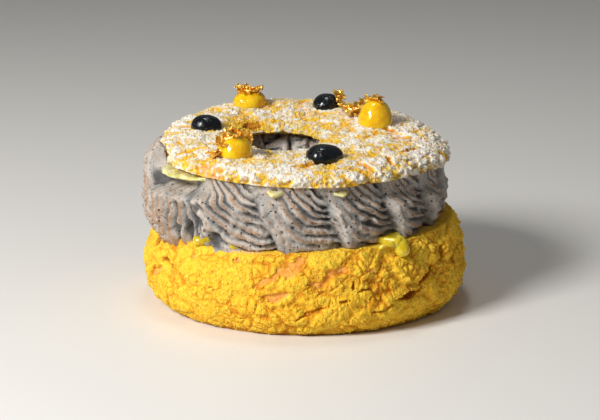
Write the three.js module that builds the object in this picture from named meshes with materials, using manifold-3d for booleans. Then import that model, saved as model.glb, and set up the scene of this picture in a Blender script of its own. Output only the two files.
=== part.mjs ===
// A paris-brest: a choux ring with a cracked biscuit crust, split level and filled with piped
// sesame cream between two thin layers of yuzu curd. Its lid carries six drops of gel, black and
// yellow in turn, and crumpled gold leaf on the yellow ones.
// Millimetres, +Z up. The origin is on the table, under the middle of the ring.

import * as THREE from "three";
import { mergeVertices } from "three/addons/utils/BufferGeometryUtils.js";
import Module from "manifold-3d";

const wasm = await Module();
wasm.setup();

// Driving dimensions.
const clearance = 0.3; // gap between neighbouring pieces
const lidPlay = 0.1; // how much more of a gap the cream keeps from the lid
const bun = {
  radius: 44.9, // at its widest
  widestAt: 11, // height of the widest line
  footRadius: 40, // flat underside
  footFullness: 3.4, // how long the wall below the widest line stays full, and above it
  cutFullness: 2.6,
  cutRadius: 41, // edge of the cut face
  cutHeight: 22.8, // cut face over the middle
  cutSlope: 0.03, // the cut rises towards +X
  unevenness: 0.7, // how far the wall is from round
  holeEdge: 0.8, // how far the hole's wall is rounded in at its top and foot
};
const hole = { x: -6.5, y: 0, baseRadius: 9.5, lidRadius: 10.6, lidUnevenness: 0.9 };
const lid = {
  x: 0.6,
  radius: 40.2,
  underside: 41.9, // over the middle
  riseToBack: 0.05, // slope of the underside along +Y
  fallToRight: 0.019, // and along +X
  sag: 2.2, // how far the left and right ends hang
  unevenness: 0.7, // how far the rim is from round
  chip: 3.2, // and how far it is drawn in at the front right
  chipAt: -38, // degrees
  holeEdge: 1.7, // thickness at the hole
  edge: 1.6, // and at the outer edge
  leftEdge: 4, // and at its left end
  frontHeight: 4.1, // crown above the underside, at the front
  backHeight: 5.6, // and at the back
  crest: 0.65, // where the crown is highest, as a share of the way from hole to rim
};
const cream = {
  x: -4.5,
  radius: 26.9, // of the line that the rope winds about
  reach: 15.7, // from that line to the outer and inner sides
  rightReach: 2, // how much more it reaches at the right, and less at the left
  topReach: 14, // and to the top and bottom
  squareness: 3, // 2 makes the winding's section an ellipse, and more a blunter one
  loops: 14,
  loopDepth: 2.4, // how far each loop's tail sinks before the next loop covers it
  ridges: 4, // left by the star nozzle, in the stretch from one loop to the next
  ridgeDepth: 1.8,
  roll: 18, // ridges that the rope rolls forward by in one loop
  surge: 1.2, // how much faster the rope advances at the outer side
  crowding: 0.25, // loops are wider apart at the left than at the right
  leftSwell: 0.8, // how much fatter the rope is at the left, and how much lower it lies
  start: -120, // angle where the first loop begins, in degrees
};
const curd = { inner: 20, outer: 35, thickness: 1.4, gap: 0.33, lip: 0.9 };
const gel = {
  root: 2.5, // depth of a drop's foot in the crust
  neck: 0.8, // and its width, as a share of the drop's
};
const leaf = { thickness: 0.35, gap: 0.5, crumple: 0.8, raggedness: 0.6, creaseTurn: 1.7 };
const crust = {
  plate: 9, // size of the plates that the biscuit crust breaks into
  flatness: 1.5, // and how much wider than tall they are
  crackEdge: 0.34, // where a plate starts to fall into the crack, as a share of it
  depth: 1.1, // of the cracks
  wander: 1.8, // how far the cracks stray
  wanderSpan: 7,
  crumb: 3, // size of the crumbs
  roughness: 0.3, // and how far they stand out
};

// Where curd squeezes out: the angle and half width in degrees, how far out, how far it hangs and
// how much it swells.
const lowerTongues = [
  { at: -55, width: 6, reach: 8.8, drop: 1.5, swell: 1.6 },
  { at: -118, width: 5, reach: 6.6, drop: 0.3, swell: 0.9 },
  { at: -134, width: 6, reach: 7.4, drop: 0.5, swell: 0.9 },
];
const upperTongues = [
  { at: -154, width: 14, reach: 6.6, drop: 1.7, swell: 0.3 },
  { at: -102, width: 5, reach: 5.4, drop: 1.2, swell: 0 },
  { at: -76, width: 5, reach: 5.2, drop: 1.2, swell: 0 },
];

const blackDrops = [
  { x: -27.8, y: 4.8, radius: 4.1, height: 3.2 },
  { x: 4.7, y: -23.6, radius: 4.9, height: 3.4 },
  { x: 6.5, y: 26.3, radius: 4.1, height: 3.4 },
];
const yellowDrops = [
  { x: -16.1, y: 27.4, radius: 4.9, height: 3.7 },
  { x: -18.8, y: -22.5, radius: 4.9, height: 5.2 },
  { x: 19.8, y: 10.6, radius: 5, height: 6.4 },
];

// Each leaf is a strip from one point to another, with its width and how high its points stand.
const leaves = [
  { from: [-18.9, 26.4], to: [-13.2, 26.2], width: 4.4, peak: 1.8 },
  { from: [-22.4, -24.2], to: [-15, -19.6], width: 3.8, peak: 0.9 },
  { from: [9.4, 25], to: [21.6, 9.4], width: 3.6, peak: 0.9 },
];

const degrees = Math.PI / 180;

function mix(a, b, share) {
  return a + (b - a) * share;
}

function smoothStep(low, high, value) {
  const share = THREE.MathUtils.clamp((value - low) / (high - low), 0, 1);
  return share * share * (3 - 2 * share);
}

function spoke(angle) {
  return new THREE.Vector3(Math.cos(angle), Math.sin(angle), 0);
}

// Seeded noise: a hash of whole numbers, smooth noise from it, and cells about scattered points.

function hash(i, j, k, seed) {
  let h = Math.imul(i, 374761393) ^ Math.imul(j, 668265263) ^ Math.imul(k, 2147483647);
  h = Math.imul(h ^ Math.imul(seed, 1274126177), 1103515245);
  h = Math.imul(h ^ (h >>> 15), 2246822519);
  h = Math.imul(h ^ (h >>> 13), 3266489917);
  return ((h ^ (h >>> 16)) >>> 0) / 4294967296;
}

// From -1 to 1, with features about one unit across.
function noise(x, y, z, seed) {
  const [i, j, k] = [Math.floor(x), Math.floor(y), Math.floor(z)];
  const [u, v, w] = [x - i, y - j, z - k].map((t) => t * t * (3 - 2 * t));
  const line = (b, c) => mix(hash(i, j + b, k + c, seed), hash(i + 1, j + b, k + c, seed), u);
  return 2 * mix(mix(line(0, 0), line(1, 0), v), mix(line(0, 1), line(1, 1), v), w) - 1;
}

// How far a point is from the border between two cells: 0 on it and about 1 in a cell's middle.
function cellBorder(x, y, z, seed) {
  const [i, j, k] = [Math.floor(x), Math.floor(y), Math.floor(z)];
  let nearest = 9;
  let second = 9;
  for (let a = i - 1; a <= i + 1; a++)
    for (let b = j - 1; b <= j + 1; b++)
      for (let c = k - 1; c <= k + 1; c++) {
        const dx = a + hash(a, b, c, seed) - x;
        const dy = b + hash(a, b, c, seed + 1) - y;
        const dz = c + hash(a, b, c, seed + 2) - z;
        const distance = Math.hypot(dx, dy, dz);
        second = Math.min(second, Math.max(nearest, distance));
        nearest = Math.min(nearest, distance);
      }
  return second - nearest;
}

// Relief of the biscuit crust: plates with cracks between them, and a crumbly surface.
function crustRelief(p, seed) {
  const at = (span, layer) => noise(p.x / span, p.y / span, p.z / span, seed + layer);
  const bend = crust.wander * at(crust.wanderSpan, 5);
  const bent = [p.x + bend, p.y - bend, crust.flatness * p.z + bend];
  const [x, y, z] = bent.map((t) => t / crust.plate);
  const plate = smoothStep(0.04, crust.crackEdge, cellBorder(x, y, z, seed));
  return crust.depth * (plate - 1) + crust.roughness * at(crust.crumb, 9);
}

// A ring-shaped solid: profile(angle) gives the same number of points at every angle, in a
// closed loop that runs anticlockwise as seen with the ring's middle to its left.
function ringGeometry(steps, profile) {
  const positions = [];
  const indices = [];
  let count = 0;
  for (let i = 0; i < steps; i++) {
    const points = profile((2 * Math.PI * i) / steps);
    count = points.length;
    points.forEach((p) => positions.push(p.x, p.y, p.z));
  }
  for (let i = 0; i < steps; i++)
    for (let j = 0; j < count; j++) {
      const [a, b] = [i * count + j, i * count + ((j + 1) % count)];
      const [c, d] = [a, b].map((n) => (n + count) % (steps * count));
      indices.push(a, c, b, b, c, d);
    }
  return indexedGeometry(positions, indices);
}

function indexedGeometry(positions, indices) {
  const geometry = new THREE.BufferGeometry();
  geometry.setAttribute("position", new THREE.Float32BufferAttribute(positions, 3));
  return geometry.setIndex(indices);
}

// Geometry to manifold solid and back.

function solidFrom(geometry) {
  const bare = geometry.clone();
  bare.deleteAttribute("normal");
  bare.deleteAttribute("uv");
  const merged = mergeVertices(bare, 1e-4);
  return new wasm.Manifold(
    new wasm.Mesh({
      numProp: 3,
      vertProperties: merged.attributes.position.array,
      triVerts: new Uint32Array(merged.index.array),
    }),
  );
}

// The outer skin of a solid's largest body: its scraps and its sealed hollows are left out.
function geometryFrom(solid) {
  const { vertProperties, triVerts } = solid.getMesh();
  const parent = [...Array(vertProperties.length / 3).keys()];
  const root = (v) => {
    while (parent[v] !== v) v = parent[v] = parent[parent[v]];
    return v;
  };
  const corner = (n) => new THREE.Vector3().fromArray(vertProperties, 3 * triVerts[n]);
  for (let n = 0; n < triVerts.length; n += 3)
    for (const m of [n + 1, n + 2]) parent[root(triVerts[m])] = root(triVerts[n]);
  const skins = new Map();
  for (let n = 0; n < triVerts.length; n += 3) {
    const key = root(triVerts[n]);
    const skin = skins.get(key) ?? { volume: 0, indices: [] };
    skin.volume += corner(n).dot(corner(n + 1).cross(corner(n + 2))) / 6;
    skin.indices.push(triVerts[n], triVerts[n + 1], triVerts[n + 2]);
    skins.set(key, skin);
  }
  const largest = [...skins.values()].reduce((a, b) => (b.volume > a.volume ? b : a));
  const vertices = [...new Set(largest.indices)];
  const place = new Map(vertices.map((v, i) => [v, i]));
  const positions = vertices.flatMap((v) => [...vertProperties.subarray(3 * v, 3 * v + 3)]);
  return indexedGeometry(positions, largest.indices.map((v) => place.get(v)));
}

function cutBy(geometry, neighbour) {
  return geometryFrom(solidFrom(geometry).subtract(solidFrom(neighbour)));
}

// Bottom half of the bun. grow pushes its walls and cut face outwards, and where cracked is false
// the crust is a smooth skin just over its relief.

function cutFaceHeight(x) {
  return bun.cutHeight + bun.cutSlope * x;
}

// A point of the outer wall, at a share of its height from -1 at the foot to 1 at the cut.
function bunWall(angle, share) {
  const edge = share > 0 ? bun.cutRadius : bun.footRadius;
  const fullness = share > 0 ? bun.cutFullness : bun.footFullness;
  const swell = bun.unevenness * noise(2 * Math.cos(angle), 2 * Math.sin(angle), share, 31);
  const bulge = (bun.radius - edge) * (1 - Math.abs(share) ** fullness);
  const p = spoke(angle).multiplyScalar(edge + bulge + swell * (1 - share ** 4));
  const rise = share > 0 ? cutFaceHeight(p.x) - bun.widestAt : bun.widestAt;
  return p.setZ(bun.widestAt + share * rise);
}

function bunProfile(angle, rows, grow, cracked) {
  const out = spoke(angle);
  const points = [];
  for (let row = 0; row <= rows; row++) {
    const share = Math.sin(mix(-90, 90, row / rows) * degrees);
    const p = bunWall(angle, share);
    const proud = cracked ? crustRelief(p, 11) : crust.roughness;
    points.push(p.addScaledVector(out, grow + (1 - share ** 12) * proud));
  }
  const foot = points[0];
  const rim = points[rows];
  rim.z += grow;
  const holeRadius = hole.baseRadius + 0.5 * noise(3 * out.x, 3 * out.y, 0, 33) - grow;
  const inner = new THREE.Vector3(hole.x, hole.y, 0).addScaledVector(out, holeRadius);
  const innerTop = cutFaceHeight(inner.x) + grow;
  for (const share of [0.45, 0.92])
    points.push(rim.clone().lerp(inner, share).setZ(mix(rim.z, innerTop, share)));
  points.push(inner.clone().setZ(innerTop - bun.holeEdge));
  points.push(inner.clone().addScaledVector(out, -bun.holeEdge / 2).setZ(innerTop / 2));
  points.push(inner.clone().setZ(bun.holeEdge));
  for (const share of [0.04, 0.5]) points.push(inner.clone().lerp(foot, share).setZ(0));
  return points;
}

function smoothBun() {
  return ringGeometry(32, (angle) => bunProfile(angle, 4, clearance, false));
}

function bunGeometry() {
  return ringGeometry(80, (angle) => bunProfile(angle, 10, 0, true));
}

// Lid, with the same two switches.

function lidUnderside(x, y) {
  const end = x / lid.radius;
  return lid.underside + lid.riseToBack * y - lid.fallToRight * x - lid.sag * end ** 4;
}

// Thickness at a share of the way from the hole's edge to the outer edge. The crown climbs slowly
// from the hole to its crest and rounds off to the rim.
function lidThickness(angle, share) {
  const crown = mix(lid.frontHeight, lid.backHeight, (1 + Math.sin(angle)) / 2);
  if (share < lid.crest) return mix(crown, lid.holeEdge, (1 - share / lid.crest) ** 1.8);
  const edge = mix(lid.edge, lid.leftEdge, Math.max(0, -Math.cos(angle)) ** 2);
  return mix(edge, crown, (1 - ((share - lid.crest) / (1 - lid.crest)) ** 2.6) ** 0.6);
}

// A point above the underside, at a share of the way from the hole's edge to the outer edge.
function lidPoint(angle, share, lift, grow) {
  const out = spoke(angle);
  const ragged = hole.lidUnevenness * noise(3 * out.x, 3 * out.y, 1, 41);
  const holeRadius = hole.lidRadius + ragged - grow;
  const chip = lid.chip * Math.max(0, Math.cos(angle - lid.chipAt * degrees)) ** 8;
  const swell = lid.unevenness * noise(2.5 * out.x, 2.5 * out.y, 2, 42);
  const outerRadius = lid.radius - chip + swell + grow;
  const inner = new THREE.Vector3(hole.x, hole.y, 0).addScaledVector(out, holeRadius);
  const outer = new THREE.Vector3(lid.x, 0, 0).addScaledVector(out, outerRadius);
  const p = inner.lerp(outer, share);
  return p.setZ(lidUnderside(p.x, p.y) + lift);
}

function lidProfile(angle, rows, grow, cracked) {
  const points = [0, 0.68, 1].map((share) => lidPoint(angle, share, -grow, grow));
  for (let row = 0; row <= rows; row++) {
    const side = Math.cos((Math.PI * row) / rows);
    const share = (1 + side) / 2;
    const p = lidPoint(angle, share, lidThickness(angle, share), 0);
    const normal = spoke(angle).multiplyScalar(side ** 3).setZ(1.2 - side * side);
    const proud = cracked ? crustRelief(p, 21) : crust.roughness;
    points.push(p.addScaledVector(normal.normalize(), grow + proud));
  }
  return points;
}

function smoothLid() {
  return ringGeometry(32, (angle) => lidProfile(angle, 4, clearance + lidPlay, false));
}

function lidGeometry() {
  return ringGeometry(80, (angle) => lidProfile(angle, 12, 0, true));
}

// Height of the smooth lid's top over a point.
function lidTop(x, y) {
  const angle = Math.atan2(y - hole.y, x - hole.x);
  const [inner, outer] = [0, 1].map((share) => lidPoint(angle, share, 0, 0));
  const span = Math.hypot(outer.x - inner.x, outer.y - inner.y);
  const share = Math.hypot(x - inner.x, y - inner.y) / span;
  return lidUnderside(x, y) + lidThickness(angle, THREE.MathUtils.clamp(share, 0, 1));
}

// Curd layers. Each is a flat ring whose outer edge reaches out in tongues.

function curdProfile(angle, tongues, bottomAt, grow) {
  let reach = 0.5 * noise(5 * Math.cos(angle), 5 * Math.sin(angle), 0, 51);
  let drop = 0;
  let swell = 0;
  for (const tongue of tongues) {
    const turn = angle - tongue.at * degrees;
    const away = Math.atan2(Math.sin(turn), Math.cos(turn)) / degrees;
    const share = Math.exp(-((away / tongue.width) ** 2));
    reach += tongue.reach * share;
    drop += tongue.drop * share;
    swell += tongue.swell * share;
  }
  const top = curd.thickness + grow;
  const edge = curd.outer + reach + grow;
  const at = (radius, lift) => {
    const p = spoke(angle).multiplyScalar(radius);
    return p.setZ(bottomAt(p.x, p.y) + lift);
  };
  return [
    at(curd.inner - grow, -grow),
    at(curd.outer - curd.lip, -grow),
    at(edge - curd.lip, -grow - drop),
    at(edge, (top + swell) / 2 - drop),
    at(edge - curd.lip, top + swell - drop),
    at(curd.outer - 1.5 * curd.lip, top),
    at(curd.inner - grow, top),
  ];
}

function lowerCurd(grow) {
  const bottomAt = (x) => cutFaceHeight(x) + curd.gap;
  return ringGeometry(40, (angle) => curdProfile(angle, lowerTongues, bottomAt, grow));
}

function upperCurd(grow) {
  const bottomAt = (x, y) => lidUnderside(x, y) - curd.gap - curd.thickness;
  return ringGeometry(40, (angle) => curdProfile(angle, upperTongues, bottomAt, grow));
}

// Cream: a rope from a star nozzle, wound in loops about a ring. Its skin is a grid that follows
// the rope's ridges: turn is 0 at a loop's top, a quarter at the outer side, a half at the bottom.

function creamMiddle(x, y) {
  return (cutFaceHeight(x) + lidUnderside(x, y)) / 2;
}

// Height of a loop along the ring, 1 at its head and falling to its tail.
function loopHeight(loops) {
  const share = loops - Math.floor(loops);
  return smoothStep(0, 0.16, share) * (1 - share * share);
}

function creamPoint(ridge, turn) {
  const lean = 2 * Math.PI * turn;
  const facing = Math.sin(lean);
  const loops = (ridge + cream.roll * turn) / cream.ridges;
  const advance = loops + turn - (cream.surge * Math.cos(lean)) / (2 * Math.PI);
  const along = cream.start * degrees + (2 * Math.PI * advance) / cream.loops;
  const angle = along - cream.crowding * Math.sin(along);
  const left = Math.max(0, -Math.cos(angle)) ** 2;
  const n = cream.squareness;
  const side = cream.reach + cream.rightReach * Math.cos(angle);
  const across = (Math.abs(facing) / side) ** n;
  const upright = (Math.abs(Math.cos(lean)) / cream.topReach) ** n;
  const shown = smoothStep(0.5, 0.8, Math.abs(facing));
  const groove = cream.ridgeDepth * shown * (ridge % 1 ? 1 : 0);
  const sunken = cream.loopDepth * (1 - loopHeight(loops)) * facing * facing;
  const reach = (across + upright) ** (-1 / n) + cream.leftSwell * left - groove - sunken;
  const p = spoke(angle).multiplyScalar(cream.radius);
  const middle = creamMiddle(p.x + cream.x, p.y) - cream.leftSwell * left;
  p.addScaledVector(spoke(angle), reach * facing);
  return p.setX(p.x + cream.x).setZ(middle + reach * Math.cos(lean));
}

function creamGeometry() {
  const rows = 12;
  const columns = 2 * cream.ridges * cream.loops;
  const shift = 2 * (cream.ridges + cream.roll);
  const positions = [];
  const indices = [];
  for (let i = 0; i < rows; i++)
    for (let j = 0; j < columns; j++) {
      const p = creamPoint(j / 2, i / rows);
      positions.push(p.x, p.y, p.z);
    }
  const at = (i, j) => (i < rows ? i * columns + (j % columns) : (j + shift) % columns);
  for (let i = 0; i < rows; i++)
    for (let j = 0; j < columns; j++) {
      indices.push(at(i, j), at(i + 1, j), at(i, j + 1));
      indices.push(at(i, j + 1), at(i + 1, j), at(i + 1, j + 1));
    }
  let solid = solidFrom(indexedGeometry(positions, indices));
  const neighbours = [
    smoothBun(),
    smoothLid(),
    lowerCurd(clearance),
    upperCurd(clearance),
  ];
  for (const neighbour of neighbours) solid = solid.subtract(solidFrom(neighbour));
  return geometryFrom(solid);
}

// Gel drops sit in the crust, so each is cut by the lid.

function dropHeight(drop, away) {
  return drop.height * Math.sqrt(Math.max(0, 1 - (away / drop.radius) ** 2));
}

function dropGeometry(drop) {
  const foot = new THREE.Vector2(gel.neck * drop.radius, -gel.root);
  const profile = [new THREE.Vector2(0, -gel.root), foot];
  for (const turn of [-10, 15, 38, 62]) {
    const [across, up] = [Math.cos(turn * degrees), Math.sin(turn * degrees)];
    profile.push(new THREE.Vector2(drop.radius * across, drop.height * up));
  }
  profile.push(new THREE.Vector2(0, drop.height));
  const dome = new THREE.LatheGeometry(profile, 12);
  dome.rotateX(Math.PI / 2);
  dome.translate(drop.x, drop.y, lidTop(drop.x, drop.y));
  const under = ringGeometry(80, (angle) => lidProfile(angle, 12, clearance, true));
  return cutBy(dome, under);
}

// Gold leaf lies over the drops and stands up in crumpled points.

function restingHeight(x, y) {
  let top = lidTop(x, y) + crust.roughness;
  for (const drop of [...blackDrops, ...yellowDrops]) {
    const away = Math.max(0, Math.hypot(x - drop.x, y - drop.y) - leaf.gap);
    if (away < drop.radius)
      top = Math.max(top, lidTop(drop.x, drop.y) + dropHeight(drop, away));
  }
  return top;
}

function leafGeometry({ from, to, width, peak }, seed) {
  const [columns, rows] = [8, 3];
  const start = new THREE.Vector3(...from, 0);
  const end = new THREE.Vector3(...to, 0);
  const across = end.clone().sub(start).normalize().cross(new THREE.Vector3(0, 0, 1));
  const positions = [];
  for (const lift of [0, leaf.thickness])
    for (let i = 0; i <= columns; i++)
      for (let j = 0; j <= rows; j++) {
        const ragged = leaf.raggedness * noise(i, j, 0, seed);
        const side = (j / rows - 0.5) * width * (1 + 0.5 * noise(i, 0, 3, seed));
        const p = start.clone().lerp(end, (i + ragged / 2) / columns);
        p.addScaledVector(across, side + ragged);
        const crease = noise(leaf.creaseTurn * i, leaf.creaseTurn * j, 7, seed);
        const crumple = (leaf.crumple * (1 + crease)) / 2;
        const spike = peak * Math.max(0, noise(0.9 * i, 0.8 * j, 5, seed)) ** 1.2;
        positions.push(p.x, p.y, restingHeight(p.x, p.y) + leaf.gap + crumple + spike + lift);
      }
  const at = (face, i, j) => (face * (columns + 1) + i) * (rows + 1) + j;
  const indices = [];
  const quad = (a, b, c, d) => indices.push(a, b, c, a, c, d);
  for (let i = 0; i < columns; i++)
    for (let j = 0; j < rows; j++) {
      quad(at(1, i, j), at(1, i, j + 1), at(1, i + 1, j + 1), at(1, i + 1, j));
      indices.push(at(0, i, j), at(0, i + 1, j + 1), at(0, i, j + 1));
      indices.push(at(0, i, j), at(0, i + 1, j), at(0, i + 1, j + 1));
    }
  for (let i = 0; i < columns; i++) {
    quad(at(0, i, 0), at(1, i, 0), at(1, i + 1, 0), at(0, i + 1, 0));
    quad(at(0, i + 1, rows), at(1, i + 1, rows), at(1, i, rows), at(0, i, rows));
  }
  for (let j = 0; j < rows; j++) {
    quad(at(0, 0, j + 1), at(1, 0, j + 1), at(1, 0, j), at(0, 0, j));
    quad(at(0, columns, j), at(1, columns, j), at(1, columns, j + 1), at(0, columns, j + 1));
  }
  return indexedGeometry(positions, indices);
}

// The pastry.

const finishes = {
  crust: { color: "#f6cc4a", roughness: 0.9 },
  sugaredCrust: { color: "#f0e2ae", roughness: 0.9 },
  cream: { color: "#9c958c", roughness: 0.6 },
  curd: { color: "#cfc466", roughness: 0.15 },
  blackGel: { color: "#06080a", roughness: 0.12 },
  yellowGel: { color: "#e2a80a", roughness: 0.12 },
  goldLeaf: { color: "#d9a441", roughness: 0.25, metalness: 1 },
};

const parisBrest = new THREE.Group();

function addPiece(name, geometry, finish) {
  const piece = new THREE.Mesh(geometry, new THREE.MeshStandardMaterial(finish));
  piece.name = name;
  parisBrest.add(piece);
}

addPiece("base_choux", bunGeometry(), finishes.crust);
addPiece("lower_curd", cutBy(lowerCurd(0), smoothBun()), finishes.curd);
addPiece("cream", creamGeometry(), finishes.cream);
addPiece("upper_curd", upperCurd(0), finishes.curd);
addPiece("lid_choux", lidGeometry(), finishes.sugaredCrust);
blackDrops.forEach((drop, i) => addPiece(`black_drop_${i + 1}`, dropGeometry(drop), finishes.blackGel));
yellowDrops.forEach((drop, i) => addPiece(`yellow_drop_${i + 1}`, dropGeometry(drop), finishes.yellowGel));
leaves.forEach((strip, i) => addPiece(`gold_leaf_${i + 1}`, leafGeometry(strip, 60 + i), finishes.goldLeaf));

export default parisBrest;
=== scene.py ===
import math

import bpy
import numpy as np
from mathutils import Matrix, Vector


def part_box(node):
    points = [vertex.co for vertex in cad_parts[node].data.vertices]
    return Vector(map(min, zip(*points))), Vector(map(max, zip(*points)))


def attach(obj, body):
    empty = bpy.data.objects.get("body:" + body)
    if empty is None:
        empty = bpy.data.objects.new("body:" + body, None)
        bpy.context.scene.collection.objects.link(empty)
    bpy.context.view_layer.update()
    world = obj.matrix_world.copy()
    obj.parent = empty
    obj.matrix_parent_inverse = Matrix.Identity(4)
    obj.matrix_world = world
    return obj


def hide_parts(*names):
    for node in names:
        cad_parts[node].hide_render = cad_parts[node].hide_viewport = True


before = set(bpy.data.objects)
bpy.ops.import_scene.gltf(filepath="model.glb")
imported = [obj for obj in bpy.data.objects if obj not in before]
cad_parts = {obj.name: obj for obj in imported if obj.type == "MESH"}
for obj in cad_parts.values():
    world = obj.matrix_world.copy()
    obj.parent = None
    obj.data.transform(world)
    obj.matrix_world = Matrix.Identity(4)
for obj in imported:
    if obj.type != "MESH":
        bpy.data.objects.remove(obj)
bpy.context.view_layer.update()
print("frame loaded:", ", ".join(sorted(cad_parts)))

mm = 0.001
scene = bpy.context.scene


# every shape below is worked out in millimetres

def mix(a, b, share):
    return a + (b - a) * share


def smoothStep(low, high, value):
    share = np.clip((value - low) / (high - low), 0, 1)
    return share * share * (3 - 2 * share)


def hashOf(i, j, k, seed):
    # the solids use the same hash, so the large cracks fall in the same places
    whole = np.broadcast_arrays(i, j, k)
    i, j, k = (np.atleast_1d(n).astype(np.int64).astype(np.uint32) for n in whole)
    h = i * 374761393 ^ j * 668265263 ^ k * 2147483647
    h = (h ^ (seed * 1274126177 & 0xFFFFFFFF)) * 1103515245
    h = (h ^ (h >> 15)) * 2246822519
    h = (h ^ (h >> 13)) * 3266489917
    return (h ^ (h >> 16)) / 4294967296


def noise(p, seed):
    # smooth, from -1 to 1, with features about one unit across; another seed gives another pattern
    cell = np.floor(p)
    t = p - cell
    u, v, w = np.moveaxis(t * t * (3 - 2 * t), -1, 0)
    i, j, k = np.moveaxis(cell, -1, 0)

    def line(b, c):
        return mix(hashOf(i, j + b, k + c, seed), hashOf(i + 1, j + b, k + c, seed), u)

    return 2 * mix(mix(line(0, 0), line(1, 0), v), mix(line(0, 1), line(1, 1), v), w) - 1


def layeredNoise(p, seed):
    # three noises, each half as large and half as strong as the one before
    total = sum(noise(p * 2**layer, seed + layer) / 2**layer for layer in range(3))
    return total / 1.75


def cells(p, seed):
    # distances to the nearest and second nearest of the scattered points
    i, j, k = np.moveaxis(np.floor(p), -1, 0)
    nearest = np.full(i.shape, 9.0)
    second = np.full(i.shape, 9.0)
    for a in (-1, 0, 1):
        for b in (-1, 0, 1):
            for c in (-1, 0, 1):
                at = (i + a, j + b, k + c)
                away = [at[n] + hashOf(*at, seed + n) - p[..., n] for n in range(3)]
                distance = np.sqrt(away[0] ** 2 + away[1] ** 2 + away[2] ** 2)
                second = np.minimum(second, np.maximum(nearest, distance))
                nearest = np.minimum(nearest, distance)
    return nearest, second


def stack(x, y, z):
    return np.stack(np.broadcast_arrays(x, y, z), -1).astype(float)


def lengthOf(v):
    return np.sqrt((v * v).sum(-1, keepdims=True))


def fullTurn(count):
    return np.linspace(0, 2 * math.pi, count, endpoint=False)


def nearTurn(degrees, at, width, power=4):
    # 1 near a place round the ring, 0 away from it
    return np.exp(-(((degrees - at) / width) ** power))


def gridFaces(steps, rows, closeSteps=True, closeRows=True):
    i, j = np.meshgrid(
        np.arange(steps if closeSteps else steps - 1),
        np.arange(rows if closeRows else rows - 1),
        indexing="ij",
    )
    nextI, nextJ = (i + 1) % steps, (j + 1) % rows
    corners = [i * rows + j, nextI * rows + j, nextI * rows + nextJ, i * rows + nextJ]
    return np.stack(corners, -1).reshape(-1, 4)


def gridNormals(points, closeSteps=True, closeRows=True):
    def difference(axis, closed):
        if closed:
            return np.roll(points, -1, axis) - np.roll(points, 1, axis)
        return np.gradient(points, axis=axis)

    normal = np.cross(difference(0, closeSteps), difference(1, closeRows))
    return normal / np.maximum(lengthOf(normal), 1e-9)


def fillRows(values, total, rest):
    # the values of a grid's first rows, then the rest value up to the total
    steps, rows = values.shape
    return np.concatenate([values, np.full((steps, total - rows), float(rest))], 1)


def addPiece(name, points, faces, material, replaces=(), shades=None):
    mesh = bpy.data.meshes.new(name)
    corners = faces.tolist() if isinstance(faces, np.ndarray) else faces
    mesh.from_pydata((points.reshape(-1, 3) * mm).tolist(), [], corners)
    mesh.polygons.foreach_set("use_smooth", np.ones(len(mesh.polygons), bool))
    for shade, values in (shades or {}).items():
        layer = mesh.attributes.new(shade, "FLOAT", "POINT")
        layer.data.foreach_set("value", np.ravel(values).astype(np.float32))
    mesh.materials.append(material)
    piece = bpy.data.objects.new(name, mesh)
    scene.collection.objects.link(piece)
    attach(piece, "root")
    if replaces:
        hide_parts(*replaces)
    print(name, len(mesh.vertices), "points")


def colour(code):
    parts = [int(code[n:n + 2], 16) / 255 for n in (1, 3, 5)]
    linear = [c / 12.92 if c <= 0.04045 else ((c + 0.055) / 1.055) ** 2.4 for c in parts]
    return (*linear, 1)


def setSockets(tree, node, values):
    for socket, value in values.items():
        if isinstance(value, bpy.types.NodeSocket):
            tree.links.new(value, node.inputs[socket])
        else:
            node.inputs[socket].default_value = value


def place(tree, kind, inputs=None, **settings):
    made = tree.nodes.new(kind)
    for setting, value in settings.items():
        setattr(made, setting, value)
    setSockets(tree, made, inputs or {})
    return made


def mathNode(tree, operation, a, b):
    return place(tree, "ShaderNodeMath", {0: a, 1: b}, operation=operation).outputs[0]


def times(tree, a, b):
    return mathNode(tree, "MULTIPLY", a, b)


def plus(tree, a, b):
    return mathNode(tree, "ADD", a, b)


def minus(tree, a, b):
    return mathNode(tree, "SUBTRACT", a, b)


def blendColours(tree, share, a, b):
    # sockets 0, 6 and 7 take the share and the two colours
    return place(tree, "ShaderNodeMix", {0: share, 6: a, 7: b}, data_type="RGBA").outputs[2]


def layColours(tree, tone, codes, layers):
    # each layer is a colour's name, the mask where it lies and how strongly
    for name, mask, amount in layers:
        tone = blendColours(tree, times(tree, mask, amount), tone, colour(codes[name]))
    return tone


def spread(tree, value, low, high):
    # from 0 to 1 while the value goes from low to high
    inputs = {0: value, 1: low, 2: high, 3: 0.0, 4: 1.0}
    return place(tree, "ShaderNodeMapRange", inputs, interpolation_type="SMOOTHSTEP").outputs[0]


def noiseNode(tree, position, scale, **more):
    inputs = {"Vector": position, "Scale": scale, **{key.title(): value for key, value in more.items()}}
    return place(tree, "ShaderNodeTexNoise", inputs)


def attribute(tree, name):
    return place(tree, "ShaderNodeAttribute", attribute_name=name).outputs["Fac"]


def newGroup(name, inputs, outputs):
    group = bpy.data.node_groups.new(name, "ShaderNodeTree")
    for socket, (kind, value) in inputs.items():
        made = group.interface.new_socket(socket, in_out="INPUT", socket_type=kind)
        if value is not None:
            made.default_value = value
    for socket, kind in outputs.items():
        group.interface.new_socket(socket, in_out="OUTPUT", socket_type=kind)
    return group, group.nodes.new("NodeGroupInput").outputs, group.nodes.new("NodeGroupOutput").inputs


def useGroup(tree, group, inputs):
    return place(tree, "ShaderNodeGroup", inputs, node_tree=group).outputs


number = "NodeSocketFloat"
vector = "NodeSocketVector"


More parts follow.
